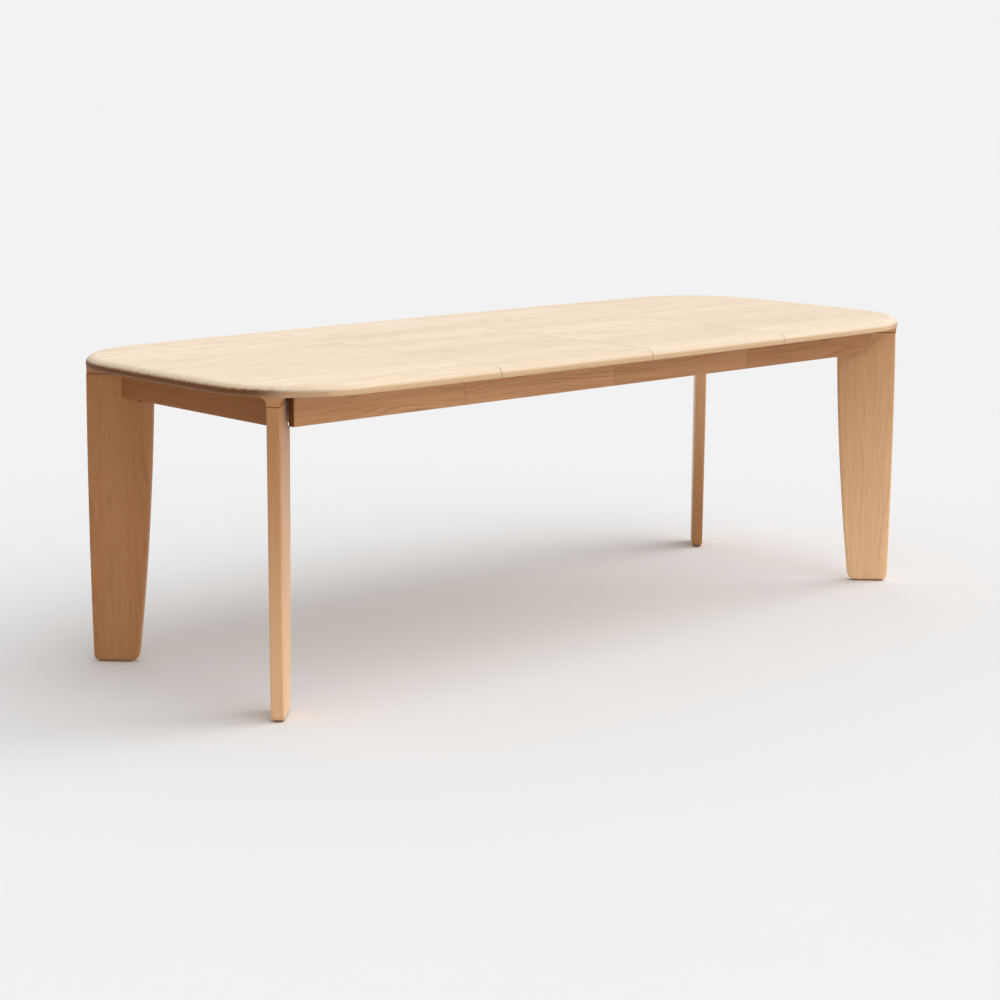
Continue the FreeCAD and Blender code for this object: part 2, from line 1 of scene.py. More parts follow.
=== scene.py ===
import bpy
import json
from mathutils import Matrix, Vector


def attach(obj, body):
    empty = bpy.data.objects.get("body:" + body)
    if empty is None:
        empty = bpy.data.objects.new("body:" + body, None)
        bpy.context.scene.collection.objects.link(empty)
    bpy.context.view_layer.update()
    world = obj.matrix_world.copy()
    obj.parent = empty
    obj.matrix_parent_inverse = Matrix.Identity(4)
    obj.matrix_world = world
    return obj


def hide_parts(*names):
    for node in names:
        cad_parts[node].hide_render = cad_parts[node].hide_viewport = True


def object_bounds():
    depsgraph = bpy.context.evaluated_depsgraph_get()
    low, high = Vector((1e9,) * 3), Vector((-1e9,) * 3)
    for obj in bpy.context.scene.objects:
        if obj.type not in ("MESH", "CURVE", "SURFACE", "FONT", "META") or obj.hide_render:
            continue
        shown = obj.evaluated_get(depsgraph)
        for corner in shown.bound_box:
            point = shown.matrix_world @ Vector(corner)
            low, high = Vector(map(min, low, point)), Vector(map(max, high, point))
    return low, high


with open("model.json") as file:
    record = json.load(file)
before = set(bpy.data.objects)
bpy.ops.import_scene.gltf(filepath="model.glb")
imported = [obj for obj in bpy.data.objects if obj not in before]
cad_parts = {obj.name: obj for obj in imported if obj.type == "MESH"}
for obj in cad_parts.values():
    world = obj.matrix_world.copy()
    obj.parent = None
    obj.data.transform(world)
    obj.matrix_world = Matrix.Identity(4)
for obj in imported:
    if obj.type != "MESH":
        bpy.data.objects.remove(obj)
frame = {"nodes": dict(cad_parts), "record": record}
cad_box = [list(corner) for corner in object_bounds()]

import json
import math

import bmesh
import bpy
from mathutils import Matrix, Vector

# Extendable dining table in pale oak. Metres, in the CAD model's frame:
# X along the table, Y towards the back, Z up, origin on the floor under the middle.
# The panels of the top, the side aprons, the legs and the caps are built here.
# The other pieces keep their CAD shape and get a material.

MM = 0.001
TINY = 1e-6
DIAGONAL = math.sqrt(0.5)

# top
half_length = cad_box[1][0]
half_width = cad_box[1][1]
top_z = cad_box[1][2]
under_z = top_z - 27 * MM
shoulder_z = top_z - 17 * MM
edge_round = 27 * MM
lower_round = 4 * MM
least_round = 0.05 * MM
side_bow = 22 * MM
end_bow = 12 * MM
corner_radius = 250 * MM
leaf_length = 0.5
seam_gap = 0.2 * MM

# side aprons
apron_z = under_z - 77 * MM
apron_inner, apron_outer = 316 * MM, 338 * MM
apron_free_end = 1007 * MM
apron_round = 3 * MM

# legs and caps, in leg coordinates: u inwards along a corner's diagonal from (leg_x, leg_y), v across it
leg_x, leg_y = 1086 * MM, 367 * MM
leg_half = 15.5 * MM
leg_round = 5 * MM
leg_outer_u = (-2.6 * MM, -5.5 * MM, -2.6 * MM)        # at the cap, half way and at the foot
leg_inner_u = (106.6 * MM, 138.4 * MM, 156.6 * MM)     # at the foot, half way and at the notch
cap_z = under_z - 21 * MM
notch_z = apron_z - 10 * MM
pad_z = 4 * MM
tongue = 122 * MM
# the foot's corners: their radii, and the heights above the pad where the bowed edges take over
foot_outer_radius, foot_outer_height = 13 * MM, 13.5 * MM
foot_inner_radius, foot_inner_height = 18 * MM, 16 * MM
flare_radius = 16 * MM
flare_length = 45 * MM
flare_end = flare_length + 0.1 * MM
flare_z = under_z - flare_radius

# how finely the curves are divided
SIDE_STEPS = 10
LEAF_STEPS = 12
CORNER_STEPS = 40
END_STEPS = 16
LOWER_ROUND_STEPS = 3
EDGE_STEPS = 14
LEG_STEPS = 24
FOOT_STEPS = 8
CAP_STEPS = 14
FLARE_STEPS = 12
ROUND_SEGMENTS = 5


# ---------------------------------------------------------------- outline of the top

def outline():
    """Centres, radii and meeting angles of the arcs round the back right quarter of the top."""
    side_radius = (half_length ** 2 + side_bow ** 2) / (2 * side_bow)
    end_radius = (half_width ** 2 + end_bow ** 2) / (2 * end_bow)
    side_centre = Vector((0, half_width - side_radius))
    end_centre = Vector((half_length - end_radius, 0))
    to_side = side_radius - corner_radius
    to_end = end_radius - corner_radius
    line = end_centre - side_centre
    along = (to_side ** 2 - to_end ** 2 + line.length_squared) / (2 * line.length)
    off = math.sqrt(to_side ** 2 - along ** 2)
    unit = line.normalized()
    corner = side_centre + unit * along + Vector((unit.y, -unit.x)) * off
    low = math.atan2(corner.y, corner.x - end_centre.x)
    high = math.atan2(corner.y - side_centre.y, corner.x)
    return side_centre, side_radius, end_centre, end_radius, corner, low, high


SIDE_CENTRE, SIDE_RADIUS, END_CENTRE, END_RADIUS, CORNER, LOW, HIGH = outline()


def side_y(x, inset=0.0):
    """Half width of the top at x, at an inset from the outline."""
    return SIDE_CENTRE.y + math.sqrt((SIDE_RADIUS - inset) ** 2 - x * x)


def on_seam(x):
    return abs(x - round(x / leaf_length) * leaf_length) < 1 * MM


# An outline point is (point, outward normal, x to keep at every inset or None).

def arc_points(centre, radius, first, last, count):
    """Outline points on an arc."""
    points = []
    for k in range(count + 1):
        angle = first + (last - first) * k / count
        normal = Vector((math.cos(angle), math.sin(angle)))
        points.append((centre + normal * radius, normal, None))
    return points


def side_points(x0, x1, sign, count):
    """Outline points along one long side from x0 to x1; those on a seam keep their x."""
    points = []
    for k in range(count + 1):
        x = x0 + (x1 - x0) * k / count
        point = Vector((x, sign * side_y(x)))
        normal = (Vector((x, side_y(x))) - SIDE_CENTRE).normalized()
        normal.y *= sign
        fixed = x if k in (0, count) and on_seam(x) else None
        points.append((point, normal, fixed))
    return points


def end_run(sign):
    """Outline points of an end panel: out along the front, round the end, back along the back."""
    seam = leaf_length + seam_gap
    join = CORNER.x + corner_radius * math.cos(HIGH)
    front_centre = Vector((CORNER.x, -CORNER.y))
    front = side_points(seam, join, -1, SIDE_STEPS)
    front_corner = arc_points(front_centre, corner_radius, -HIGH, -LOW, CORNER_STEPS)
    end = arc_points(END_CENTRE, END_RADIUS, -LOW, LOW, END_STEPS)
    back_corner = arc_points(CORNER, corner_radius, LOW, HIGH, CORNER_STEPS)
    back = side_points(join, seam, 1, SIDE_STEPS)
    run = front + front_corner[1:] + end[1:] + back_corner[1:] + back[1:]
    if sign > 0:
        return run
    mirrored = []
    for point, normal, fixed in reversed(run):
        mirrored.append((Vector((-point.x, point.y)), Vector((-normal.x, normal.y)),
                         None if fixed is None else -fixed))
    return mirrored


def distance_to_caps(point):
    """How far an outline point is from the nearest cap, along the edge."""
    across = (abs(point.x) - leg_x) - (abs(point.y) - leg_y)
    return abs(across) / math.sqrt(2) - leg_half - flare_radius


def smooth(t):
    """0 below 0, 1 above 1 and a soft step between."""
    t = max(0.0, min(1.0, t))
    return t * t * (3 - 2 * t)


def edge_profile(arris):
    """(inset, height) from the underside, whose arris is rounded, up to the flat of the top."""
    points = []
    for k in range(LOWER_ROUND_STEPS + 1):
        angle = math.pi / 2 * k / LOWER_ROUND_STEPS
        points.append((arris * (1 - math.sin(angle)), under_z + arris * (1 - math.cos(angle))))
    for k in range(EDGE_STEPS + 1):
        angle = math.pi / 2 * k / EDGE_STEPS
        height = shoulder_z + (top_z - shoulder_z) * math.sin(angle)
        points.append((edge_round * (1 - math.cos(angle)), height))
    return points


# ---------------------------------------------------------------- pieces of wood

def finish_mesh(name, bm, body, node, material, seed, grain_of, tan, bevel, smooth_angle=32):
    """Turns a bmesh into a piece: grain coordinates, softened arrises, material, body and node.
    seed picks the log, and tan(co) is how deep the tone is at a point, from 0 to 1: the wood's own tone
    with painted shade, and on the top a painted sheen where it is palest."""
    bmesh.ops.remove_doubles(bm, verts=bm.verts, dist=TINY)
    bmesh.ops.recalc_face_normals(bm, faces=bm.faces)
    mesh = bpy.data.meshes.new(name)
    bm.to_mesh(mesh)
    bm.free()
    mesh.attributes.new("grain", "FLOAT_VECTOR", "POINT")
    mesh.attributes.new("seed", "FLOAT", "POINT")
    mesh.attributes.new("tan", "FLOAT", "POINT")
    for vertex in mesh.vertices:
        mesh.attributes["grain"].data[vertex.index].vector = grain_of(vertex.co)
        mesh.attributes["seed"].data[vertex.index].value = seed
        mesh.attributes["tan"].data[vertex.index].value = tan(vertex.co)
    mesh.shade_smooth()
    mesh.set_sharp_from_angle(angle=math.radians(smooth_angle))
    piece = bpy.data.objects.new(name, mesh)
    bpy.context.scene.collection.objects.link(piece)
    mesh.materials.append(material)
    if bevel:
        soften = piece.modifiers.new("soften", "BEVEL")
        soften.width = bevel
        soften.segments = 2
        soften.limit_method = "ANGLE"
        soften.angle_limit = math.radians(40)
        soften.harden_normals = True
    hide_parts(node)
    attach(piece, body)


def panel_painted_sheen(co):
    """Painted sheen: the top is painted palest at its front left corner and reaches its full tone 0.9 m
    from there.
    """
    near_corner = Vector((-leg_x, -leg_y, top_z))
    return 0.11 * smooth((co - near_corner).length / 0.9)


def top_panel(name, runs, seed, body, node):
    """One panel of the top from its runs of outline points; between two runs a seam cuts it off square.
    The arris of its underside fades out over 14 mm beside the caps."""
    bm = bmesh.new()
    columns = []
    for run in runs:
        column = []
        for point, normal, fixed in run:
            arris = max(least_round, lower_round * smooth(distance_to_caps(point) / (14 * MM)))
            stack = []
            for inset, z in edge_profile(arris):
                spot = point - normal * inset
                if fixed is not None:
                    spot = Vector((fixed, math.copysign(side_y(fixed, inset), point.y)))
                stack.append(bm.verts.new((spot.x, spot.y, z)))
            column.append(stack)
        columns.append(column)
    for column in columns:
        for a, b in zip(column, column[1:]):
            for k in range(len(a) - 1):
                bm.faces.new((a[k], b[k], b[k + 1], a[k + 1]))
    loop = [stack for column in columns for stack in column]
    bm.faces.new([stack[0] for stack in loop])
    bm.faces.new([stack[-1] for stack in loop])
    for k, column in enumerate(columns):
        after = columns[(k + 1) % len(columns)][0]
        bm.faces.new(column[-1] + after[::-1])
    finish_mesh(name, bm, body, node, oak_top, seed, lambda co: co.copy(), panel_painted_sheen, 0.9 * MM)


def apron_board(name, low, high, seed, body, node, tone):
    """Straight board, rounded along its lower edges and up the edges of its free end, if it has one."""
    bm = bmesh.new()
    bmesh.ops.create_cube(bm, size=1.0)
    for vertex in bm.verts:
        vertex.co = Vector([low[a] if vertex.co[a] < 0 else high[a] for a in range(3)])
    rounded = []
    for edge in bm.edges:
        a, b = [vertex.co for vertex in edge.verts]
        at_bottom = abs(a.z - apron_z) < TINY and abs(b.z - apron_z) < TINY
        at_free_end = abs(abs(a.x) - apron_free_end) < TINY and abs(abs(b.x) - apron_free_end) < TINY
        if abs(a.y - b.y) < TINY and (at_bottom or at_free_end):
            rounded.append(edge)
    bmesh.ops.bevel(bm, geom=rounded, offset=apron_round, segments=ROUND_SEGMENTS, profile=0.5,
                    affect="EDGES")
    # tone is the board's tone together with painted shade
    finish_mesh(name, bm, body, node, oak_apron, seed, lambda co: Vector((co.x, co.z, co.y)),
                lambda co: tone, 0.5 * MM)


def to_corner(u, v, z, sx, sy):
    """From leg coordinates to a corner of the table."""
    return Vector((sx * (leg_x - (u + v) * DIAGONAL), sy * (leg_y - (u - v) * DIAGONAL), z))


def from_corner(co, sx, sy):
    """Leg coordinates u and v of a point at a corner of the table."""
    a, b = leg_x - sx * co.x, leg_y - sy * co.y
    return (a + b) * DIAGONAL, (a - b) * DIAGONAL


def bowed_edge(u, z0, z2):
    """(u, z) points on the parabola through three values of u, at z0, half way and z2."""
    points = []
    for k in range(LEG_STEPS + 1):
        t = k / LEG_STEPS
        at = u[0] * (1 - t) * (1 - 2 * t) + 4 * u[1] * t * (1 - t) + u[2] * t * (2 * t - 1)
        points.append(Vector((at, z0 + (z2 - z0) * t)))
    return points


def rounded_corner(before, corner, after, radius):
    """Points on the arc that rounds a corner between two neighbouring points."""
    a = (before - corner).normalized()
    b = (after - corner).normalized()
    half = a.angle(b) / 2
    centre = corner + (a + b).normalized() * radius / math.sin(half)
    start = corner + a * radius / math.tan(half)
    end = corner + b * radius / math.tan(half)
    first = math.atan2(start.y - centre.y, start.x - centre.x)
    last = math.atan2(end.y - centre.y, end.x - centre.x)
    if last - first > math.pi:
        last -= 2 * math.pi
    if first - last > math.pi:
        last += 2 * math.pi
    points = []
    for k in range(FOOT_STEPS + 1):
        angle = first + (last - first) * k / FOOT_STEPS
        points.append(centre + Vector((math.cos(angle), math.sin(angle))) * radius)
    return points


def leg_outline():
    """The leg's side view as (u, z) points, anticlockwise from its outer top corner."""
    outer = bowed_edge(leg_outer_u, cap_z, pad_z)
    inner = bowed_edge(leg_inner_u, pad_z, notch_z)
    outer_foot = rounded_corner(outer[-2], outer[-1], inner[0], foot_outer_radius)
    inner_foot = rounded_corner(outer[-1], inner[0], inner[1], foot_inner_radius)
    outer = [p for p in outer if p.y > pad_z + foot_outer_height]
    inner = [p for p in inner if p.y > pad_z + foot_inner_height]
    return outer + outer_foot + inner_foot + inner + [Vector((tongue, notch_z)), Vector((tongue, cap_z))]


def leg(name, sx, sy, seed, body, node, tan):
    """Flat leg with bowed edges. Its long edges are rounded, those of the tongue stay square."""
    bm = bmesh.new()
    shape = leg_outline()
    near = [bm.verts.new((p.x, -leg_half, p.y)) for p in shape]
    far = [bm.verts.new((p.x, leg_half, p.y)) for p in shape]
    bm.faces.new(near)
    bm.faces.new(far[::-1])
    count = len(shape)
    tongue_edges = 3
    long_edges = []
    for k in range(count):
        after = (k + 1) % count
        bm.faces.new((near[k], far[k], far[after], near[after]))
        if k < count - tongue_edges:
            long_edges += [bm.edges.get((near[k], near[after])), bm.edges.get((far[k], far[after]))]
    bmesh.ops.recalc_face_normals(bm, faces=bm.faces)
    bmesh.ops.bevel(bm, geom=long_edges, offset=leg_round, segments=ROUND_SEGMENTS, profile=0.5,
                    affect="EDGES")
    for vertex in bm.verts:
        u, v, z = vertex.co
        vertex.co = to_corner(u, v, z, sx, sy)

    def grain_of(co):
        u, v = from_corner(co, sx, sy)
        return Vector((co.z, u, v))

    finish_mesh(name, bm, body, node, oak_leg, seed, grain_of, tan, 0.4 * MM)


def edge_u(v):
    """u where the line at v meets the outline of the top."""
    a = leg_x - v * DIAGONAL - CORNER.x
    b = leg_y + v * DIAGONAL - CORNER.y
    inner = (a + b) * DIAGONAL
    return inner - math.sqrt(inner * inner - (a * a + b * b - corner_radius ** 2))


def cap_plan(z):
    """A cap's plan at a height as (u, v) points, its front on the outline of the top."""
    rise = max(0.0, z - flare_z)
    half = leg_half + flare_radius - math.sqrt(max(0.0, flare_radius ** 2 - rise ** 2))
    plan = []
    for k in range(CAP_STEPS + 1):
        v = half * (2 * k / CAP_STEPS - 1)
        plan.append((edge_u(v), v))
    plan += [(flare_length, half), (flare_end, leg_half), (tongue, leg_half)]
    plan += [(tongue, -leg_half), (flare_end, -leg_half), (flare_length, -half)]
    return plan


def cap(name, sx, sy, seed, body, node, tan):
    """Cap block between a leg and the top, its front flush with the top's edge and flared up to it."""
    bm = bmesh.new()
    heights = [cap_z, cap_z + 2.5 * MM]
    for k in range(FLARE_STEPS + 1):
        heights.append(flare_z + flare_radius * math.sin(math.pi / 2 * k / FLARE_STEPS))
    rings = []
    for z in heights:
        rings.append([bm.verts.new(to_corner(u, v, z, sx, sy)) for u, v in cap_plan(z)])
    for a, b in zip(rings, rings[1:]):
        count = len(a)
        for k in range(count):
            bm.faces.new((a[k], a[(k + 1) % count], b[(k + 1) % count], b[k]))
    bm.faces.new(rings[0])
    bm.faces.new(rings[-1])

    def grain_of(co):
        u, v = from_corner(co, sx, sy)
        return Vector((u, v, co.z))

    finish_mesh(name, bm, body, node, oak_cap, seed, grain_of, tan, bevel=0.0, smooth_angle=40)


# ---------------------------------------------------------------- node helpers

class Graph:
    """Short names for building a material's nodes."""

    def __init__(self, material):
        material.use_nodes = True
        self.tree = material.node_tree
        self.tree.nodes.clear()

    def put(self, socket, value):
        if isinstance(value, bpy.types.NodeSocket):
            self.tree.links.new(value, socket)
        else:
            socket.default_value = value

    def node(self, kind, inputs=None, **settings):
        node = self.tree.nodes.new(kind)
        for key, value in settings.items():
            setattr(node, key, value)
        for key, value in (inputs or {}).items():
            self.put(node.inputs[key], value)
        return node

    def math(self, operation, a, b=0.0, clamp=False):
        node = self.node("ShaderNodeMath", {0: a, 1: b}, operation=operation, use_clamp=clamp)
        return node.outputs[0]

    def around_zero(self, value, size):
        """From a value between 0 and 1 to one between -size / 2 and size / 2."""
        return self.math("MULTIPLY", self.math("SUBTRACT", value, 0.5), size)

    def vector(self, operation, a, b):
        node = self.node("ShaderNodeVectorMath", {0: a, 1: b}, operation=operation)
        return node.outputs["Value" if operation == "DOT_PRODUCT" else "Vector"]

    def split(self, vector):
        return self.node("ShaderNodeSeparateXYZ", {0: vector}).outputs

    def join(self, x, y, z):
        return self.node("ShaderNodeCombineXYZ", {0: x, 1: y, 2: z}).outputs[0]

    def noise(self, vector, scale, detail, roughness=0.5):
        inputs = {"Vector": vector, "Scale": scale, "Detail": detail, "Roughness": roughness}
        return self.node("ShaderNodeTexNoise", inputs).outputs["Fac"]

    def stretched_noise(self, vector, frequency, detail, roughness=0.5):
        """Noise with a frequency of its own along each axis, per metre."""
        return self.noise(self.vector("MULTIPLY", vector, frequency), 1.0, detail, roughness)

    def fit(self, value, low, high, to_low=0.0, to_high=1.0):
        """A soft step from to_low, at low, to to_high, at high."""
        inputs = {0: value, 1: low, 2: high, 3: to_low, 4: to_high}
        return self.node("ShaderNodeMapRange", inputs, interpolation_type="SMOOTHSTEP").outputs[0]

    def mix(self, factor, a, b, blend="MIX"):
        node = self.node("ShaderNodeMix", data_type="RGBA", blend_type=blend)
        self.put(node.inputs[0], factor)
        self.put(node.inputs[6], a)
        self.put(node.inputs[7], b)
        return node.outputs[2]

    def tint(self, amount, base, shade):
        """The base, multiplied by a shade as far as amount says."""
        return self.mix(amount, base, self.mix(1.0, base, shade, "MULTIPLY"))

    def surface(self, inputs):
        shader = self.node("ShaderNodeBsdfPrincipled", inputs)
        output = self.node("ShaderNodeOutputMaterial")
        self.tree.links.new(shader.outputs[0], output.inputs[0])


def colour(r, g, b):
    return (r, g, b, 1.0)


# ---------------------------------------------------------------- oak

RINGS_PER_METRE = 170.0
NARROW_STAVE = 100 * MM
STAVE_SPREAD = 0.55         # how much the tones of narrow staves differ
BOARD_SPREAD = 0.2          # and those of whole boards
# tint for the tan attribute, which carries each piece's tone together with painted shade and, on the top, a
# painted sheen
TONE_AND_SHADE_TINT = colour(0.51, 0.365, 0.265)
# painted shade for the top's rolled edge and its upright edge
ROLLED_EDGE_PAINTED_SHADE = colour(0.91, 0.905, 0.89)
UPRIGHT_EDGE_PAINTED_SHADE = colour(0.80, 0.655, 0.51)


def staves(g, x, y, z, width, seed):
    """Glued strips, each from its own part of the log.
    Gives the place in the log, the distance from the strip's middle and the strip's three random numbers.
    The odd factors only keep strips and boards from repeating each other."""
    shifted = g.math("ADD", g.math("DIVIDE", y, width), g.math("MULTIPLY", seed, 0.37))
    strip = g.math("FLOOR", shifted)
    inside = g.math("SUBTRACT", shifted, strip)
    number = g.math("ADD", g.math("MULTIPLY", seed, 11.3), strip)
    pick = g.node("ShaderNodeTexWhiteNoise", {"W": number}, noise_dimensions="1D")
    r1, r2, r3 = g.split(pick.outputs["Color"])
    local_y = g.around_zero(inside, width)
    x_shift = g.math("ADD", x, g.math("MULTIPLY", r3, 7.0))
    y_shift = g.math("ADD", local_y, g.math("MULTIPLY", r1, 3.0))
    z_shift = g.math("ADD", z, g.math("MULTIPLY", r2, 3.0))
    return g.join(x_shift, y_shift, z_shift), local_y, (r1, r2, r3)


def growth_rings(g, place, local_y, z, r1, r2):
    """Growth rings, cut at a different distance from the heart in each strip."""
    wander = g.stretched_noise(place, (1.6, 9.0, 9.0), 2.0)
    sway = g.stretched_noise(place, (5.0, 30.0, 30.0), 2.0)
    heart_z = g.math("ADD", g.math("MULTIPLY", r2, 0.06), 0.035)
    dy = g.math("SUBTRACT", local_y, g.around_zero(r1, 0.13))
    dz = g.math("ADD", z, g.math("ADD", heart_z, g.math("MULTIPLY", wander, 0.075)))
    radius = g.math("SQRT", g.math("ADD", g.math("MULTIPLY", dy, dy), g.math("MULTIPLY", dz, dz)))
    radius = g.math("ADD", radius, g.math("MULTIPLY", sway, 0.010))
    wave = g.math("SINE", g.math("MULTIPLY", radius, 2 * math.pi * RINGS_PER_METRE))
    strength = g.fit(g.stretched_noise(place, (3.0, 60.0, 60.0), 2.0), 0.3, 0.75)
    return g.math("MULTIPLY", g.fit(wave, -0.2, 1.0), strength)


def end_facing(g, normal):
    """How far a panel's edge faces the ends of the table, from 0 along the sides to 1."""
    sideways = g.math("ARCTAN2", g.math("ABSOLUTE", normal[1]), g.math("ABSOLUTE", normal[0]))
    most = g.fit(sideways, math.radians(54), math.radians(28), 0.0, 0.75)
    start = g.fit(sideways, math.radians(80), math.radians(60), 0.0, 0.25)
    return g.math("ADD", most, start)


def painted_edge_shade(g, base, normal, turned):
    """Painted shade on a panel's rolled edge and, deeper, on the upright part of it."""
    base = g.tint(g.fit(normal[2], 0.985, 0.85), base, ROLLED_EDGE_PAINTED_SHADE)
    slope = g.math("SUBTRACT", normal[2], g.math("MULTIPLY", turned, 0.3))
    return g.tint(g.fit(slope, 0.68, 0.0), base, UPRIGHT_EDGE_PAINTED_SHADE)


def seam_lines(g, base, vein, x, y):
    """A thin line along each of the three seams, strongest on the near half of the middle one."""
    across = g.math("ABSOLUTE", x)
    line = g.fit(g.math("PINGPONG", x, leaf_length / 2), 2.0 * MM, 0.8 * MM)
    line = g.math("MULTIPLY", line, g.math("LESS_THAN", across, 1.5 * leaf_length))
    near = g.math("MULTIPLY", g.math("LESS_THAN", across, leaf_length / 2), g.fit(y, 0.05, -0.20))
    strength = g.math("ADD", g.math("MULTIPLY", near, 0.50), 0.35)
    return g.mix(g.math("MULTIPLY", line, strength), base, vein)


def ragged_end_grain(g, normal, turned, x, y, z):
    """How far a spot on a panel's edge is end grain; the band's upper limit is ragged, and its lip is kept
    paler as a painted highlight of light from the floor.
    """
    ragged = g.stretched_noise(g.join(x, y, z), (120.0, 120.0, 30.0), 4.0, 0.65)
    slope = g.math("ADD", normal[2], g.around_zero(ragged, 0.6))
    edge = g.math("MULTIPLY", g.fit(slope, 0.80, 0.28), g.fit(normal[2], -0.99, -0.9))
    # painted highlight: the lip at the underside keeps less of the end grain's dark, as if lit from the
    # floor
    edge = g.math("MULTIPLY", edge, g.fit(z, under_z + 4.5 * MM, under_z + 6.5 * MM, 0.84, 1.0))
    return g.math("MULTIPLY", turned, edge)


def oak(name, tones, axis, stave, figure=1.0, source=None, rough=0.55, panels=False, joint=None, sheen=0.0):
    """Oiled oak. tones are pale, deep, vein and end grain, axis is the object axis the grain runs along,
    stave is the width of the glued strips and figure the strength of the grain.
    The grain coordinates are the piece's own, or its object coordinates in the order of source.
    panels adds what the panels of the top have: painted shade and dark end grain on their edges, and a line
    along each seam.
    joint is the height of a glued joint, shown by a thin darker line."""
    pale, deep, vein, end = tones
    material = bpy.data.materials.new(name)
    g = Graph(material)
    texture = g.node("ShaderNodeTexCoord")
    normal = g.split(texture.outputs["Normal"])
    if source is None:
        x, y, z = g.split(g.node("ShaderNodeAttribute", attribute_name="grain").outputs["Vector"])
        seed = g.node("ShaderNodeAttribute", attribute_name="seed").outputs["Fac"]
    else:
        parts = g.split(texture.outputs["Object"])
        x, y, z = [parts[a] for a in source]
        seed = g.math("MULTIPLY", g.math("FLOOR", g.math("MULTIPLY", y, 6.0)), 3.7)

    place, local_y, (r1, r2, r3) = staves(g, x, y, z, stave, seed)
    ring = growth_rings(g, place, local_y, z, r1, r2)
    streak = g.stretched_noise(place, (2.4, 70.0, 70.0), 4.0, 0.6)
    fine = g.stretched_noise(place, (12.0, 520.0, 520.0), 3.0, 0.6)
    cloud = g.stretched_noise(g.join(x, y, z), (2.0, 7.0, 7.0), 2.0)
    pores = g.fit(g.stretched_noise(place, (55.0, 1500.0, 1500.0), 1.0), 0.56, 0.72)
    pores = g.math("MULTIPLY", pores, g.math("ADD", g.math("MULTIPLY", ring, 0.7), 0.3))

    spread = STAVE_SPREAD if stave < NARROW_STAVE else BOARD_SPREAD
    tone = g.math("ADD", g.around_zero(r3, spread), 0.42)
    tone = g.math("ADD", tone, g.around_zero(streak, 1.5 * figure))
    tone = g.math("ADD", tone, g.around_zero(fine, 0.5 * figure))
    tone = g.math("ADD", tone, g.around_zero(cloud, 0.7), clamp=True)
    base = g.mix(tone, pale, deep)
    base = g.mix(g.math("MULTIPLY", ring, 0.42 * figure), base, vein)
    base = g.mix(g.math("MULTIPLY", pores, 0.35), base, vein)

    # the tan attribute: each piece's tone with painted shade, and the top's painted sheen near its front
    # left corner
    if source is None:
        tan = g.node("ShaderNodeAttribute", attribute_name="tan").outputs["Fac"]
        base = g.tint(tan, base, TONE_AND_SHADE_TINT)
    if panels:
        turned = end_facing(g, normal)
        # painted shade on the rolled and upright edges of the top
        base = painted_edge_shade(g, base, normal, turned)
        base = seam_lines(g, base, vein, x, y)
    if joint is not None:
        above = g.math("SUBTRACT", g.split(texture.outputs["Object"])[2], joint)
        line = g.fit(g.math("ABSOLUTE", above), 2.0 * MM, 0.9 * MM)
        base = g.mix(g.math("MULTIPLY", line, 0.9), base, end)

    # end grain soaks up the oil and turns dark
    if panels:
        facing = ragged_end_grain(g, normal, turned, x, y, z)
    else:
        facing = g.fit(g.math("ABSOLUTE", normal["XYZ".index(axis)]), 0.84, 1.0)
    speck = g.stretched_noise(g.join(0.0, y, z), (1.0, 420.0, 420.0), 3.0, 0.7)
    cut = g.mix(g.math("MULTIPLY", g.fit(speck, 0.35, 0.7), 0.15), end, vein)
    base = g.mix(facing, base, cut)

    height = g.math("ADD", g.math("MULTIPLY", pores, -1.0), g.math("MULTIPLY", ring, -0.35))
    height = g.math("ADD", height, g.math("MULTIPLY", fine, 0.25))
    bump = g.node("ShaderNodeBump", {"Strength": 0.35, "Distance": 0.25 * MM, "Height": height})
    roughness = g.math("ADD", rough, g.around_zero(streak, 0.25), clamp=True)
    g.surface({"Base Color": base, "Roughness": roughness, "Normal": bump.outputs[0],
               "Specular IOR Level": 0.15, "Sheen Weight": sheen, "Sheen Roughness": 0.3})
    return material


def plain(name, base_colour, other, rough, metallic=0.0):
    """Metal or moulded plastic with a fine mottled surface and uneven gloss."""
    material = bpy.data.materials.new(name)
    g = Graph(material)
    co = g.node("ShaderNodeTexCoord").outputs["Object"]
    mottle = g.noise(co, 25.0, 3.0, 0.6)
    speck = g.noise(co, 400.0, 2.0, 0.6)
    base = g.mix(g.fit(mottle, 0.3, 0.7), base_colour, other)
    roughness = g.math("ADD", rough, g.around_zero(speck, 0.3), clamp=True)
    bump = g.node("ShaderNodeBump", {"Strength": 0.3, "Distance": 0.1 * MM, "Height": speck})
    g.surface({"Base Color": base, "Roughness": roughness, "Metallic": metallic, "Normal": bump.outputs[0]})
    return material


# tones of the wood: pale, deep, vein, end grain
TOP_TONES = (colour(0.93, 0.79, 0.625), colour(0.84, 0.668, 0.49),
             colour(0.60, 0.41, 0.24), colour(0.13, 0.035, 0.006))
LEG_TONES = (colour(0.94, 0.62, 0.355), colour(0.78, 0.47, 0.245),
             colour(0.47, 0.24, 0.11), colour(0.20, 0.08, 0.03))
APRON_TONES = (colour(0.62, 0.34, 0.17), colour(0.48, 0.24, 0.11),
               colour(0.32, 0.14, 0.06), colour(0.22, 0.10, 0.04))
# the end aprons are darker than the side aprons mainly by painted shade, as they face away from the light
END_APRON_SHADED_TONES = (colour(0.325, 0.127, 0.037), colour(0.26, 0.097, 0.026), *APRON_TONES[2:])
RAW_TONES = (colour(0.70, 0.54, 0.36), colour(0.60, 0.43, 0.26), TOP_TONES[2], LEG_TONES[3])

# how deep the tone of each panel's aprons is: the boards' own tone with painted shade, deepest on the right
APRON_TONE_AND_SHADE = {"left": 0.06, "leaf_a": 0.08, "leaf_b": 0.22, "right": 0.46}

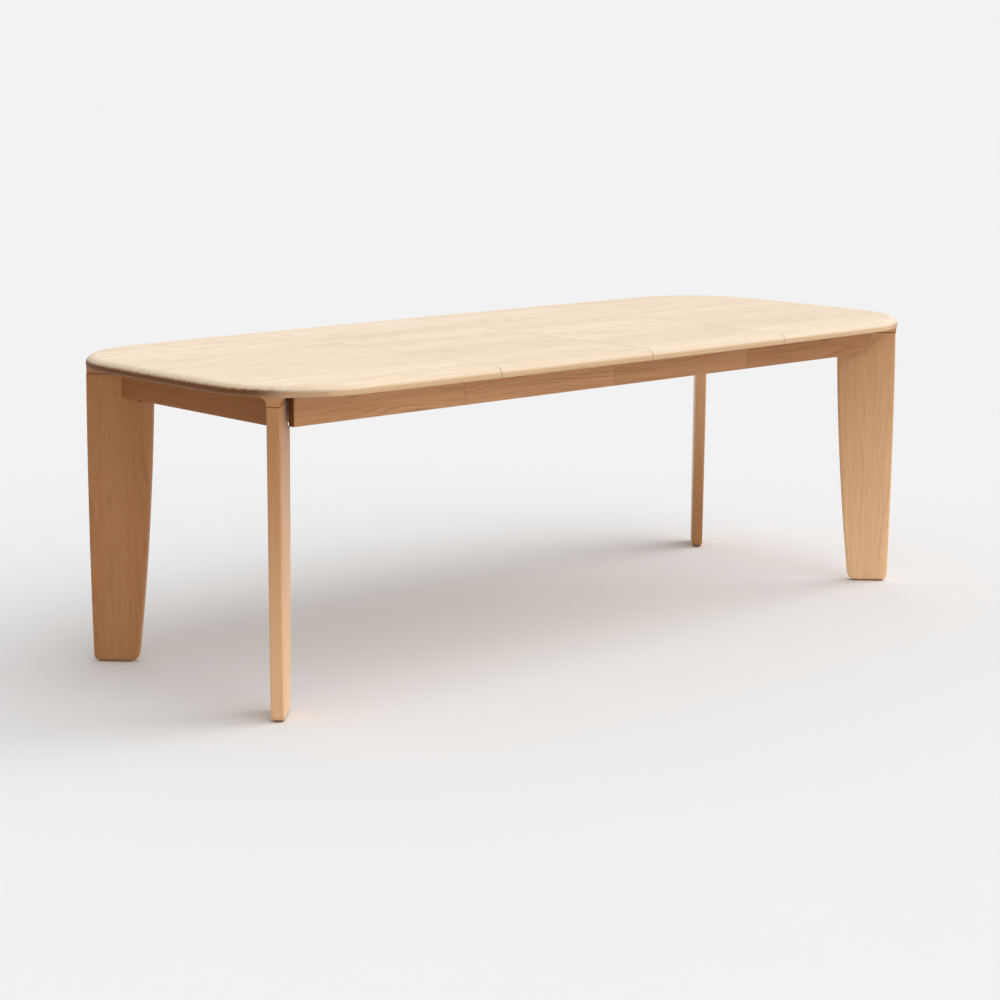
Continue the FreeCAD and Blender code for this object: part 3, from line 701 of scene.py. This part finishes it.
# how deep each leg's tone is at the cap, and the change towards the foot: the wood's tone with painted
# shade, deepest under the top and on the leg in the table's shadow, and painted floor bounce paling most
# legs towards the foot
LEG_TONE_AND_SHADE = {
    "left_front": (0.93, -0.70),
    "left_back": (0.97, -0.02),
    "right_front": (0.62, -0.58),
    "right_back": (0.16, 0.80),
}

whole_board = 0.4
oak_top = oak("oak_top", TOP_TONES, "X", 88 * MM, figure=0.75, panels=True)
oak_apron = oak("oak_apron", APRON_TONES, "X", whole_board, figure=1.35)
# painted shade: the end aprons get the darker tones
shaded_oak_end_apron = oak("shaded_oak_end_apron", END_APRON_SHADED_TONES, "Y", whole_board, source=(1, 2, 0))
oak_leg = oak("oak_leg", LEG_TONES, "Z", 56 * MM, figure=0.6, joint=cap_z, sheen=0.35)
oak_cap = oak("oak_cap", LEG_TONES, "Z", whole_board, figure=0.7, joint=cap_z)
raw_along = oak("raw_oak_along", RAW_TONES, "X", whole_board, source=(0, 1, 2), rough=0.7)
raw_across = oak("raw_oak_across", RAW_TONES, "Y", whole_board, source=(1, 0, 2), rough=0.7)
steel = plain("zinc_steel", colour(0.62, 0.62, 0.63), colour(0.50, 0.51, 0.54), 0.38, metallic=1.0)
pale_plastic = plain("pale_plastic", colour(0.80, 0.78, 0.72), colour(0.72, 0.70, 0.64), 0.45)
dark_plastic = plain("dark_plastic", colour(0.34, 0.18, 0.09), colour(0.27, 0.14, 0.07), 0.7)


# ---------------------------------------------------------------- the table

def build_top():
    """The two end panels and, between them, the two leaves."""
    top_panel("left_panel", [end_run(-1)], 1.0, "left_half", "left_top")
    top_panel("right_panel", [end_run(1)], 2.0, "right_half", "right_top")
    for leaf, start, seed in (("leaf_a", -leaf_length, 3.0), ("leaf_b", 0.0, 4.0)):
        x0, x1 = start + seam_gap, start + leaf_length - seam_gap
        runs = [side_points(x0, x1, -1, LEAF_STEPS), side_points(x1, x0, 1, LEAF_STEPS)]
        top_panel(leaf + "_panel", runs, seed, leaf, leaf + "_top")


def build_aprons():
    """A board under each panel, front and back."""
    spans = (
        ("left", "left_half", -apron_free_end, -leaf_length - seam_gap),
        ("leaf_a", "leaf_a", -leaf_length + seam_gap, -seam_gap),
        ("leaf_b", "leaf_b", seam_gap, leaf_length - seam_gap),
        ("right", "right_half", leaf_length + seam_gap, apron_free_end),
    )
    seed = 10.0
    for panel, body, x0, x1 in spans:
        for side, sign in (("front", -1), ("back", 1)):
            node = panel + "_" + side + "_apron"
            y0, y1 = sorted((sign * apron_inner, sign * apron_outer))
            apron_board(node + "_board", (x0, y0, apron_z), (x1, y1, under_z), seed, body, node,
                        APRON_TONE_AND_SHADE[panel])
            seed += 1.0


def build_legs():
    """A leg and its cap at each corner."""
    seed = 30.0
    for end, sx in (("left", -1), ("right", 1)):
        for side, sy in (("front", -1), ("back", 1)):
            corner = end + "_" + side
            high, change = LEG_TONE_AND_SHADE[corner]

            # the leg's tone and painted shade, changing from the cap to the foot
            def tan(co):
                return high + change * smooth(1.0 - co.z / cap_z)

            leg(corner + "_leg_plank", sx, sy, seed, end + "_half", corner + "_leg", tan)
            cap(corner + "_cap_block", sx, sy, seed + 0.5, end + "_half", corner + "_cap", tan)
            seed += 1.0


def paint_cad():
    """Materials for the nodes that stay as the CAD made them."""
    by_slot = {"steel": steel, "pale_plastic": pale_plastic, "dark_plastic": dark_plastic}
    slots = {part["node"]: part["material_slot"] for part in frame["record"]["subparts"]}
    for name, node in frame["nodes"].items():
        if slots[name] in by_slot:
            material = by_slot[slots[name]]
        elif name.endswith("end_apron"):
            material = shaded_oak_end_apron
        elif name.endswith(("tie", "battens")):
            material = raw_across
        else:
            material = raw_along
        for place in node.material_slots:
            place.material = material


# ---------------------------------------------------------------- floor, light and camera

# softboxes: name, strength, spread in degrees, direction that the light comes from
SOFTBOXES = (
    ("overhead_softbox", 1.60, 88, (0.34, -0.60, 0.72)),
    ("right_softbox", 0.85, 45, (0.80, -0.30, 0.40)),
)
BACKDROP = 0.888            # the studio wall as the camera sees it
AMBIENT = 0.565             # light from all round
BEHIND_GLOW = 0.30          # extra light from behind the table
BEHIND = (0.68, 0.73, 0.0)

CAMERA_PLACE = (-4.07024, -4.33028, 1.4554)
CAMERA_YAW, CAMERA_PITCH, CAMERA_ROLL = math.radians(42.690), math.radians(-10.848), math.radians(0.277)
CAMERA_LENS = 82.65         # millimetres, on a sensor 36 mm wide
FLOOR_HALF = 60.0


def build_stage():
    """A pale matt floor."""
    bm = bmesh.new()
    bmesh.ops.create_grid(bm, x_segments=8, y_segments=8, size=FLOOR_HALF)
    mesh = bpy.data.meshes.new("studio_floor")
    bm.to_mesh(mesh)
    bm.free()
    floor = bpy.data.objects.new("studio_floor", mesh)
    bpy.context.scene.collection.objects.link(floor)
    material = bpy.data.materials.new("studio_floor")
    g = Graph(material)
    co = g.node("ShaderNodeTexCoord").outputs["Object"]
    base = g.mix(g.noise(co, 3.0, 2.0), colour(0.797, 0.797, 0.797), colour(0.803, 0.803, 0.803))
    g.surface({"Base Color": base, "Roughness": 0.9, "Specular IOR Level": 0.0})
    mesh.materials.append(material)


def build_light():
    """Soft light from two large lamps, and a world that lights from all round."""
    for name, energy, angle, direction in SOFTBOXES:
        sun = bpy.data.lights.new(name, "SUN")
        sun.energy = energy
        sun.angle = math.radians(angle)
        lamp = bpy.data.objects.new(name, sun)
        lamp.rotation_euler = Vector(direction).to_track_quat("Z", "Y").to_euler()
        bpy.context.scene.collection.objects.link(lamp)

    world = bpy.data.worlds.new("studio")
    bpy.context.scene.world = world
    g = Graph(world)
    co = g.node("ShaderNodeTexCoord").outputs["Generated"]
    behind = g.math("MAXIMUM", g.vector("DOT_PRODUCT", co, BEHIND), 0.0)
    glow = g.math("ADD", g.math("MULTIPLY", behind, BEHIND_GLOW), AMBIENT)
    seen = g.node("ShaderNodeLightPath").outputs["Is Camera Ray"]
    wall = g.math("MULTIPLY", seen, BACKDROP)
    lit = g.math("MULTIPLY", g.math("SUBTRACT", 1.0, seen), glow)
    inputs = {"Color": colour(1, 1, 1), "Strength": g.math("ADD", wall, lit)}
    background = g.node("ShaderNodeBackground", inputs)
    output = g.node("ShaderNodeOutputWorld")
    g.tree.links.new(background.outputs[0], output.inputs[0])


def build_camera():
    yaw, pitch, roll = CAMERA_YAW, CAMERA_PITCH, CAMERA_ROLL
    forward = Vector((math.sin(yaw) * math.cos(pitch), math.cos(yaw) * math.cos(pitch), math.sin(pitch)))
    right = Vector((math.cos(yaw), -math.sin(yaw), 0))
    up = right.cross(forward)
    right_tilted = right * math.cos(roll) + up * math.sin(roll)
    up_tilted = up * math.cos(roll) - right * math.sin(roll)
    data = bpy.data.cameras.new("camera")
    data.sensor_width = 36.0
    data.lens = CAMERA_LENS
    data.clip_end = 200.0
    camera = bpy.data.objects.new("camera", data)
    turn = Matrix((right_tilted, up_tilted, -forward)).transposed()
    camera.matrix_world = Matrix.Translation(CAMERA_PLACE) @ turn.to_4x4()
    bpy.context.scene.collection.objects.link(camera)
    bpy.context.scene.camera = camera


bpy.context.scene.view_settings.view_transform = "Standard"
paint_cad()
build_top()
build_aprons()
build_legs()
build_stage()
build_light()
build_camera()
